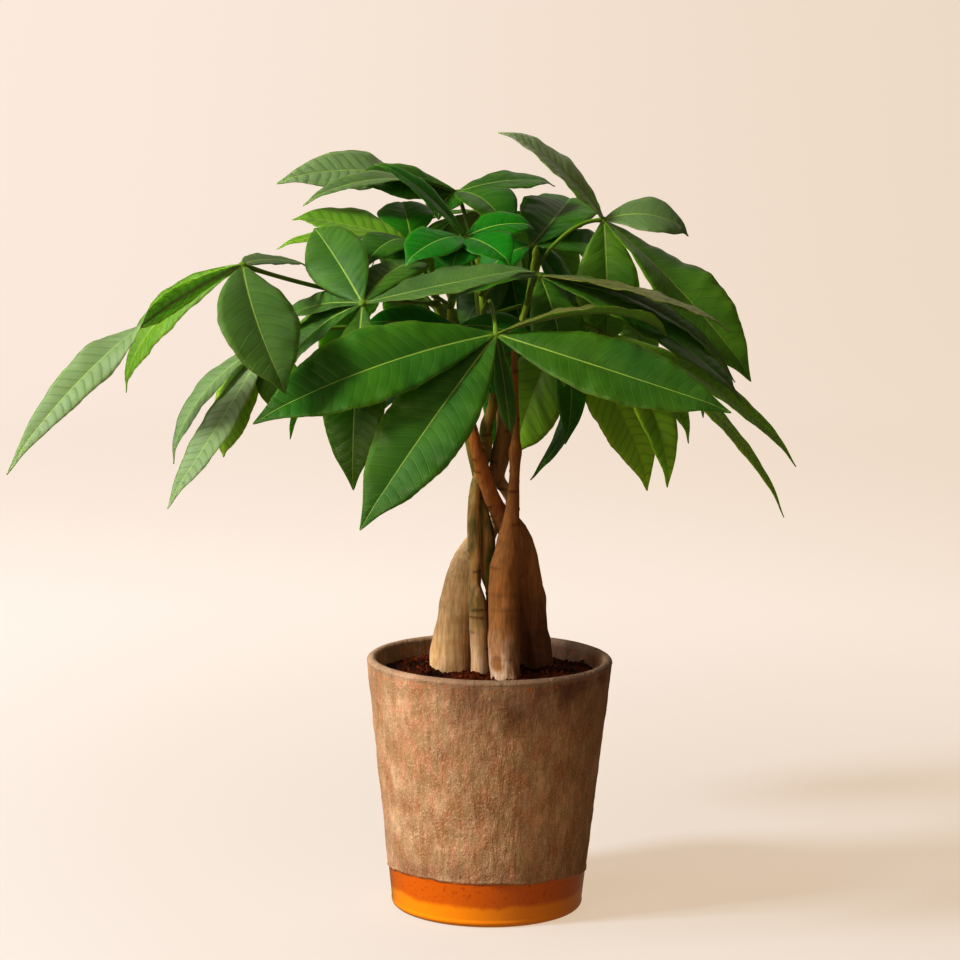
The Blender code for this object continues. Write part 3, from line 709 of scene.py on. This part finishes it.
def barkGroup():
    # bark from its height on the trunk: low, middle and high colours, green patches, a pale foot,
    # orange clouds, dark streaks, scars and the green of the young shoot
    outputs = {"Color": "Color", "Roughness": "Float", "Height": "Float"}
    group, given, result = newGroup("bark", barkInputs, outputs)
    place = objectPlace(group)
    share, scar, young = storedParts(group, "barkLay")[:3]
    wander = calc("ADD", share, times(mottle(place, 120, 50, 0.3), 0.24))
    streak = mottle(place, 700, 60, 0.25)
    colour = mixColour(ramp(wander, 0.2, 0.62), given["Low"], given["Middle"])
    colour = mixColour(ramp(wander, 0.85, 1.35), colour, given["High"])
    green = times(mottle(place, 150, 40, 0.1), ramp(wander, 0.15, 0.6))
    foot = times(mottle(place, 130, 70, 0.12), ramp(wander, 0.42, 0.12))
    colour = layOver(colour, barkColours, (
        (green, given["Green"], "green"), (foot, given["Pale"], "pale"),
        (mottle(place, 90, 190, 0.08), 0.16, "orange"), (streak, 0.4, "dark"),
        (scar, 0.75, "scar"), (young, 1, "shoot")))
    grain = calc("ADD", times(streak, 0.7), mottle(place, 1400, 500, 0.4))
    feed(group, result, {"Color": colour, "Roughness": ramp(young, 0, 1, 0.72, 0.45), "Height": grain})
    return group


def barkSkin(name, look):
    material, tree, shader = newMaterial(name)
    paint = addNode(tree, "Group", dict(zip(barkInputs, look)), node_tree=barkNodes)
    feed(tree, shader, {"Base Color": paint["Color"], "Roughness": paint["Roughness"],
                        "Specular IOR Level": 0.25, "Normal": bumpFrom(paint["Height"], 0.45, 0.0004)})
    return material


barkNodes = barkGroup()
for number, name in enumerate(trunks):
    buildTrunk(name, number)
print("trunks ready")


# ---- leaves

leaf = {
    "fold": 11, "stalkHalf": 1.1, "twistFrom": 0.25, "twistTo": 0.6,    # as the solids have them
    "blade": 0.36, "rib": 0.85, "ribAbove": 0.16, "ribWidth": 0.85,     # thickness, and the midrib
    "stalkAbove": 0.45, "stalkBelow": 0.7,
    "cup": 0.28, "droop": 0.17,         # how the halves rise from the rib and fall again
    "veinGap": 6.4, "veinSlant": 0.36, "veinCurve": 0.3, "veinStep": 0.25, "veinWander": 0.12,
    "quilt": 0.42, "wave": 0.8, "waveLength": 26, "scallop": 0.006, "tipCurl": 2.5, "tipFrom": 0.84,
    "rowStep": 1.25, "leastRows": 24, "columns": 17, "seed": 81,
    "petioleRadius": 1.25, "petioleStart": 1.2, "petioleRings": 26, "petioleAround": 12,
    "knobRadius": 2.5, "knobFlat": 0.75, "knobRings": 9, "knobAround": 14,
}
# Each leaf: the shoot and the height that its petiole leaves from, how far the petiole bows up, its hub,
# the way that its upper side faces, a tone for each leaflet, and its leaflets. A tone runs from -1, dusky
# brown, by 0, yellow green partly painted as glow of light shining through, 0.5, plain dark green, and 1,
# bright fresh green partly painted as glow of light shining through, to 2, a painted grey-green sheen.
# A leaflet is its tip's place from the hub, its width, how far its midrib bows out of the leaf's face,
# and then, where they aren't 0, how far it bows to its left, its roll at the hub, and how much it rolls
# further on to the tip, in degrees.
leaves = {
    "leaf_front": (
        "trunk_slender", 366, 12, (1, -105, 361), (0, -0.8, 0.6), (0.68, 0.55, 0.48, -0.9, 0.6), [
        (-135, -45, -46, 50, 8, -2), (-75, -55, -104, 50, 10, 1.5), (132, -32, -38, 42, 6, -3),
        (100, 45, -3, 34, 22, 0, -55), (9, 24, -62, 14, 6, 0, 40)]),
    "leaf_front_left": (
        "trunk_right", 368, 10, (-75, -100, 377), (-0.1, -0.45, 0.9), (1.15, 1.2, 1.15, 0.42, 1.32, 0.4), [
        (-32, 62, 40, 38, 3, 0, -22), (-60, 44, -24, 30, 8), (-48, 14, -46, 32, 8),
        (-4, -28, -103, 38, 6), (98, 22, 20, 34, 1, 0, -5), (34, 70, 18, 30, 8)]),
    "leaf_left": (
        "trunk_middle", 368, -4, (-141.4, -123, 399.8), (0.1, -0.5, 0.85), (1.3, 1.64, 0.38, 1.3), [
        (27.5, -41.2, -66.7, 47.1, 7.8, -5.9), (-123.6, -70.6, -108.9, 27.5, 19.6, 0, 88, -90),
        (-72.6, 43.2, -77.5, 31.4, 13.7, 0, -15), (34, 84, -6, 18, 1, 6)]),
    "leaf_low_left": (
        "trunk_middle", 338, 12, (-132, -50, 349), (-0.3, -0.5, 0.8), (1.55, 1.64, 0.05, 0.4, 0.4), [
        (-57, -6, -71, 24, 11, -2, 8), (-56, -44, -91, 26, 3, 4.5), (-29, 16, -71, 30, 7, 3, -25),
        (15, -6, -44, 28, 6), (18, 50, -6, 28, 8)]),
    "leaf_high_right": ("trunk_front", 390, 8, (65, 10, 419), (0, -0.55, 0.83), (2.0, 1.5, 0.36, 0.4), [
        (-63, -12, 54, 36, 5, -3, 12, 8), (53, 4, -8, 32, 9, 0, 5), (90, -22, -93, 50, 6, 1, -24, 30),
        (4, 4, -78, 40, 6)]),
    "leaf_middle": ("trunk_slender", 376, 2, (-18, -30, 410), (0, -0.5, 0.85), (0.85, 1, 1, 1, 0.95), [
        (-51, -20, 45, 18, 5), (-34, -42, -12, 34, 6), (-7, -36, -16, 32, 4), (27, -34, -12, 32, 4),
        (42, 8, 7, 28, 5)]),
    "leaf_top": (
        "trunk_left", 390, 3, (-23, 35, 433), (-0.05, -0.2, 0.97), (1.6, 1.45, 0.5, 0.6, 0.6, 0.6), [
        (-108, -30, 7, 32, 10, 0, 10, -50), (-90, -69, -3, 18, 11, 0, 4, -20), (60, 15, 6, 34, 4, 0, 5),
        (32, -38, -22, 38, 8), (-63, -35, 9, 34, 1, 0, -30), (-12, -22, -14, 28, 4)]),
    "leaf_right": ("trunk_front", 370, 6, (26, -50, 390), (0.1, -0.3, 0.95), (-0.95, 0.5, 0.4, 0.6, 0.5), [
        (112, -12, -28, 36, 5, 0, -15), (122, -4, -72, 44, 10), (119, 22, -62, 28, 14),
        (-56, 8, -18, 32, 6), (16, -26, -62, 36, 6)]),
    "leaf_upper_left": ("trunk_middle", 372, 1, (-50, 4, 405), (0, -0.4, 0.9), (0.28, 0.3, 0.6, 0.8, 0.5), [
        (-72, 8, 14, 34, 2), (-79, -30, -1, 16, 6), (-26, -50, -10, 32, 7), (-8, 42, 22, 36, 5),
        (-4, -16, -24, 34, 6)]),
    "leaf_heart": ("trunk_right", 334, 4, (-22, -36, 358), (0, -0.6, 0.8), (0.8, 0.75, 0.8, 0.75, 0.9), [
        (-44, -26, -46, 34, 6), (-12, -42, -40, 34, 6), (22, -40, -34, 32, 6), (46, -14, -8, 30, 6),
        (-54, -8, 3, 28, 2)]),
    "leaf_low_right": ("trunk_front", 346, 10, (63, -15, 354), (0.4, -0.5, 0.8), (0.15, 0.15, 0.05, 0.05), [
        (119, -15, -76, 20, 12), (110, -45, -102, 18, 16, 0, -10), (41, -45, -86, 32, 12),
        (56, -5, -65, 26, 10)]),
    "leaf_low_back": ("trunk_left", 344, 10, (40, 24, 350), (0.1, -0.6, 0.8), (0.02, 0.7, 0.5, 0.25, 0.2), [
        (56, -12, -95, 42, 8, 4), (4, -34, -64, 20, 6, 4), (-18, -14, -88, 15, 5, 17, 45),
        (-26, 24, -79, 44, 6), (34, 46, -52, 34, 10)]),
    "leaf_inner": ("trunk_front", 376, 2, (22, 9, 403), (0, -0.5, 0.87), (0.85, 0.6, 0.85, 0.6), [
        (28, 20, -44, 36, 3), (26, 87, 25, 50, 6, -4), (-30, -2, -22, 34, 6), (66, 44, -14, 34, 8)]),
    "leaf_core": ("trunk_left", 366, 4, (10, 68, 381), (0, -0.5, 0.85), (0.8, 0.75, 0.8, 0.75, 0.6), [
        (-64, -6, -4, 40, 8, 0, -20), (-8, -10, -112, 26, 6), (8, -6, -50, 34, 6), (62, 4, -38, 34, 6),
        (-30, -4, -36, 38, 6)]),
}
# leaves of the far side: shoot, height, hub, number of leaflets, longest one
backLeaves = {
    "leaf_back_left": ("trunk_middle", 362, (-66, 74, 366), 5, 118),
    "leaf_back_middle": ("trunk_left", 384, (-6, 100, 418), 6, 114),
    "leaf_back_right": ("trunk_right", 352, (76, 66, 362), 5, 102),
    "leaf_back_low_left": ("trunk_middle", 330, (-60, 78, 332), 5, 110),
    "leaf_back_low_right": ("trunk_left", 330, (46, 96, 322), 5, 98),
}
fan = {"spread": math.radians(150), "droop": 0.62, "width": 0.31, "arch": 0.13, "bow": 10, "tone": 0.42,
       "turn": 0.08, "swing": 4, "roll": 8, "seed": 7}


def fanRows(shoot, hub, count, longest, chance):
    # leaflets spread evenly about the way that the petiole points, the middle one the longest
    root = trunks[shoot][-3]
    heading = math.atan2(hub[1] - root[1], hub[0] - root[0])
    rows = []
    for number in range(count):
        share = number / (count - 1) - 0.5
        angle = heading + fan["spread"] * share + chance.uniform(-fan["turn"], fan["turn"])
        length = longest * (1 - 0.9 * share ** 2) * chance.uniform(0.94, 1.04)
        fall = fan["droop"] * length * chance.uniform(0.8, 1.15) * (1 - 0.5 * abs(share))
        out = math.sqrt(length ** 2 - fall ** 2)
        rows.append((out * math.cos(angle), out * math.sin(angle), -fall, length * fan["width"],
                     length * fan["arch"], chance.uniform(-fan["swing"], fan["swing"]),
                     chance.uniform(-fan["roll"], fan["roll"])))
    return rows


def bladeHalf(share, width):
    # half width: a narrow stalk, widest near the middle, and a drawn-out tip
    body = np.clip(np.sin(math.pi * share ** 1.05), 0, 1) ** 0.95
    body *= 1 - 0.3 * smoothStep(0.8, 0.97, share)
    return leaf["stalkHalf"] * (1 - share) + 0.35 * share + (width / 2 - leaf["stalkHalf"]) * body


def leafletPart(hub, facing, row, tint, chance):
    # an arched midrib carries a row of points across the blade: the halves rise and fall again, the
    # blade swells between its side veins, and the margins wave
    dx, dy, dz, width, rise, swing, roll, twist = (*row, 0, 0, 0)[:8]
    chord = np.array([dx, dy, dz], dtype=float)
    length = np.linalg.norm(chord)
    left = unit(np.cross(facing, chord))
    middle = chord / 2 + np.cross(chord, left) / length * 2 * rise + left * 2 * swing
    rows, columns = max(leaf["leastRows"], int(length / leaf["rowStep"])), leaf["columns"]
    share = np.linspace(0, 1, rows)[:, None]
    centre, tangent = bowCurve(0, middle, chord, share)
    side = unit(left - tangent * (tangent @ left)[:, None])
    normal = np.cross(tangent, side)
    angle = np.radians(roll + twist * smoothStep(leaf["twistFrom"], leaf["twistTo"], share))
    side, normal = ringAbout(angle, side, normal), ringAbout(angle, normal, -side)
    across = np.linspace(1, -1, columns)[None, :]
    across = np.sign(across) * np.abs(across) ** 1.6
    edge, half = np.abs(across), bladeHalf(share, width)
    reach = across * half
    apart = np.abs(reach)
    phases = chance.uniform(0, 1, 6)
    # side veins are counted along the blade; they slant and curve, and the sides alternate
    gap = leaf["veinGap"] * (0.8 + 0.2 * width / 40) * chance.uniform(0.9, 1.1)
    vein = share * length - leaf["veinSlant"] * apart - leaf["veinCurve"] * apart ** 2 / width * 2
    vein = vein / gap + leaf["veinStep"] * np.tanh(reach / 2)
    vein += leaf["veinWander"] * np.sin(share * 23 + phases[0] * 6)
    free = smoothStep(0, 0.1, share) * (1 - smoothStep(0.9, 1, share))
    quilt = leaf["quilt"] * (0.7 + 0.8 * phases[1]) * min(1, width / 34)
    lift = quilt * (np.abs(np.sin(math.pi * vein)) ** 0.75 - 0.5) * free
    lift *= smoothStep(0, 0.22, edge) * (1 - 0.75 * smoothStep(0.7, 1, edge))
    cup, droop = leaf["cup"] * (0.7 + 0.6 * phases[2]), leaf["droop"] * (0.8 + 0.5 * phases[3])
    lift += half * (cup * edge - droop * edge ** 2)
    # the margin waves have two lengths, and each side of the blade its own phases
    waves, leftSide = length / leaf["waveLength"], across > 0
    one, two = np.where(leftSide, phases[4], phases[5]), np.where(leftSide, phases[5], phases[4])
    margin = np.sin(math.tau * (share * waves + one)) + 0.4 * np.sin(math.tau * (share * waves * 2.3 + two))
    lift += leaf["wave"] * margin * edge ** 2.2 * half / 20 * free
    lift -= leaf["tipCurl"] * smoothStep(leaf["tipFrom"], 1, share) ** 2
    reach = reach * (math.cos(math.radians(leaf["fold"]))
                     + leaf["scallop"] * np.cos(math.tau * vein) * edge ** 4)
    # upper and under side: the lift, half the thickness, the midrib and the stalk
    thick = leaf["blade"] / 2 * (1 - 0.6 * edge ** 4)
    rib = np.exp(-(apart / (leaf["ribWidth"] * (1.15 - 0.75 * share))) ** 2) * (1 - 0.8 * share)
    stalk = (1 - smoothStep(0, 0.07, share)) * np.sqrt(np.clip(1 - across ** 2, 0, 1))
    above = lift + thick + leaf["ribAbove"] * rib + leaf["stalkAbove"] * stalk
    below = lift - thick - leaf["rib"] * rib - leaf["stalkBelow"] * stalk
    spine = hub + centre[:, None] + side[:, None] * reach[..., None]
    top, under = (spine + normal[:, None] * layer[..., None] for layer in (above, below))
    points = np.concatenate([top, under[:, ::-1]], 1)
    first = np.arange(columns - 1)
    cap = np.stack([first, first + 1, 2 * columns - 2 - first, 2 * columns - 1 - first], -1)
    faces = ringFaces(rows, 2 * columns, False) + [cap[:, ::-1], cap + (rows - 1) * 2 * columns]
    place = np.stack([vein, reach, share * np.ones_like(reach)], -1)
    place = np.concatenate([place, place[:, ::-1]], 1)
    # the upper side, the leaflet's tone, how near the margin, and the stalk
    tone = np.zeros((rows, 2 * columns, 4))
    tone[:, :columns, 0] = 1
    tone[..., 1] = np.clip(tint + chance.uniform(-0.05, 0.05), -1, 2)
    tone[..., 2] = np.concatenate([edge, edge[:, ::-1]], 1)
    tone[..., 3] = 1 - smoothStep(0, 0.05, share)
    return points.reshape(-1, 3), faces, {"veinLay": place.reshape(-1, 3), "leafTone": tone.reshape(-1, 4)}


def stalkPart(points, rings, around):
    # a closed bar of rings with the paint of a stalk
    points = points.reshape(-1, 3)
    lay, tone = (np.tile(value, (len(points), 1)) for value in ([0.5, 5.0, 0.0], [1.0, 0.5, 0.5, 1.0]))
    return points, ringFaces(rings, around), {"veinLay": lay, "leafTone": tone}


def petiolePart(shoot, height, bow, hub):
    # a thin bar on a quadratic curve from the shoot to the hub, swollen at both ends
    rings, around = leaf["petioleRings"], leaf["petioleAround"]
    path = trunkPath(shoot, 22)
    root = np.array([np.interp(height, path[:, 2], path[:, column]) for column in (0, 1)] + [height])
    middle = (root + hub) / 2 + np.array([0, 0, 2 * bow])
    share = np.linspace(0, 1, rings)[:, None]
    start = root + unit((hub - root) * (1, 1, 0)) * leaf["petioleStart"]
    centre, tangent = bowCurve(start, middle, hub, share)
    across = unit(np.cross(hub - start, middle - start))
    swell = 1 + 0.55 * np.exp(-(share / 0.05) ** 2) + 0.5 * np.exp(-((1 - share) / 0.06) ** 2)
    ring = ringAbout(circle(around)[None, :, None], across, np.cross(tangent, across)[:, None])
    return stalkPart(centre[:, None] + leaf["petioleRadius"] * swell[..., None] * ring, rings, around)


def knobPart(hub, facing):
    # a small flattened ball where the leaflets meet
    radius, rings, around = leaf["knobRadius"], leaf["knobRings"], leaf["knobAround"]
    up = unit(np.array(facing, dtype=float))
    across = unit(np.cross(up, (0.3, 1, 0.2)))
    turn = np.linspace(0, math.pi, rings)[:, None, None]
    ring = ringAbout(circle(around)[None, :, None], across, np.cross(up, across))
    return stalkPart(hub + radius * np.maximum(np.sin(turn), 0.05) * ring
                     - up * np.cos(turn) * radius * leaf["knobFlat"], rings, around)


def buildLeaf(node, shoot, height, bow, hub, facing, tints, rows, number):
    # a petiole, a knob and the leaflets, joined to one piece
    hub = np.array(hub, dtype=float)
    chance = np.random.default_rng(leaf["seed"] + number)
    parts = [petiolePart(shoot, height, bow, hub), knobPart(hub, facing)]
    parts += [leafletPart(hub, facing, row, tint, chance) for row, tint in zip(rows, tints)]
    points, faces, values = joinParts(parts)
    first, *words = node.split("_")
    name = first + "".join(word.capitalize() for word in words)
    makePiece(name, points * mm, faces, values, leafMaterial, node)


leafColours = {
    # fresh and warm are partly painted glow of light shining through the leaf; silver is a painted sheen
    "deep": rgb(40, 80, 16), "light": rgb(66, 104, 26), "fresh": rgb(8, 108, 2), "warm": rgb(148, 190, 54),
    # blue is the blade's blue-green, partly a painted sheen
    "blue": rgb(38, 84, 50), "under": rgb(118, 142, 86), "vein": rgb(112, 142, 62),
    "rib": rgb(150, 174, 84), "stalk": rgb(94, 122, 34), "edge": rgb(104, 104, 44),
    "silver": rgb(136, 152, 120), "dusk": rgb(86, 76, 44),
}


def leafSkin():
    # blade: cloudy green moved by its tone, which also lays painted glow of light shining through and a
    # painted sheen, and paler below; over it veins with painted shade beside them, margin, midrib and stalk
    material, tree, shader = newMaterial("moneyTreeLeaf")
    place = objectPlace(tree)
    vein, reach, share = storedParts(tree, "veinLay")[:3]
    upper, tint, edge, stalk = storedParts(tree, "leafTone", "Color")
    # a vein lies at each whole number of the count, and four finer ones to each of those
    part = calc("FRACT", vein)
    sideVein = ramp(calc("PINGPONG", vein, 0.5), 0.09, 0.015)
    # painted shade in the crease beside each side vein
    veinCreaseShade = times(ramp(part, 0.05, 0.12), ramp(part, 0.45, 0.12))
    fineVein = ramp(calc("PINGPONG", times(vein, 4), 0.5), 0.2, 0.04)
    fineVein = times(fineVein, mottle(place, 500, 500, 0.3))
    ribReach = calc("MULTIPLY_ADD", share, -0.5, 0.72)
    rib = ramp(calc("DIVIDE", calc("ABSOLUTE", reach), ribReach), 1, 0.5)
    patches = mottle(place, 38, 38, 0.22)
    colour = layOver(leafColours["deep"], leafColours, (
        # the tone lays fresh and yellow green, partly painted glow of light shining through, and at 2 a
        # painted grey-green sheen
        (patches, 1, "light"), (ramp(tint, 0.5, 1), ramp(tint, 1.1, 1), "fresh"),
        # blue-green patches, partly painted sheen
        (ramp(tint, 0.5, 0), 1, "warm"), (mottle(place, 22, 22, 0.15), 0.3, "blue"),
        (ramp(tint, 1, 2), 0.8, "silver"), (ramp(tint, 0, -1), 0.85, "dusk")))
    below = mixColour(0.45, colour, leafColours["under"])
    colour = layOver(mixColour(upper, below, colour), leafColours, (
        (veinCreaseShade, 0.3, "deep"), (sideVein, 0.09, "vein"), (fineVein, 0.07, "vein"),
        (ramp(edge, 0.965, 0.998), 0.5, "edge"), (rib, 0.65, "rib"), (stalk, 1, "stalk")))
    grain = times(mottle(place, 2600, 2600, 0.4, 2), 0.3)
    height = calc("MULTIPLY_ADD", sideVein, -0.6, calc("MULTIPLY_ADD", fineVein, -0.4, grain))
    rough = calc("ADD", ramp(patches, 0, 1, 0.34, 0.44), ramp(upper, 1, 0, 0, 0.16))
    feed(tree, shader, {
        "Base Color": colour, "Roughness": rough, "Normal": bumpFrom(height, 0.35, 0.0003),
        "Specular IOR Level": 0.32, "Subsurface Weight": 0.6, "Subsurface Radius": (0.6, 1.0, 0.2),
        "Subsurface Scale": 0.002})
    return material


leafMaterial = leafSkin()
for number, (node, settings) in enumerate(leaves.items()):
    buildLeaf(node, *settings, number)
chance = random.Random(fan["seed"])
for number, (node, settings) in enumerate(backLeaves.items(), len(leaves)):
    shoot, height, hub, count, longest = settings
    rows = fanRows(shoot, hub, count, longest, chance)
    buildLeaf(node, shoot, height, fan["bow"], hub, (0, 0, 1), [fan["tone"]] * count, rows, number)
print("leaves ready")
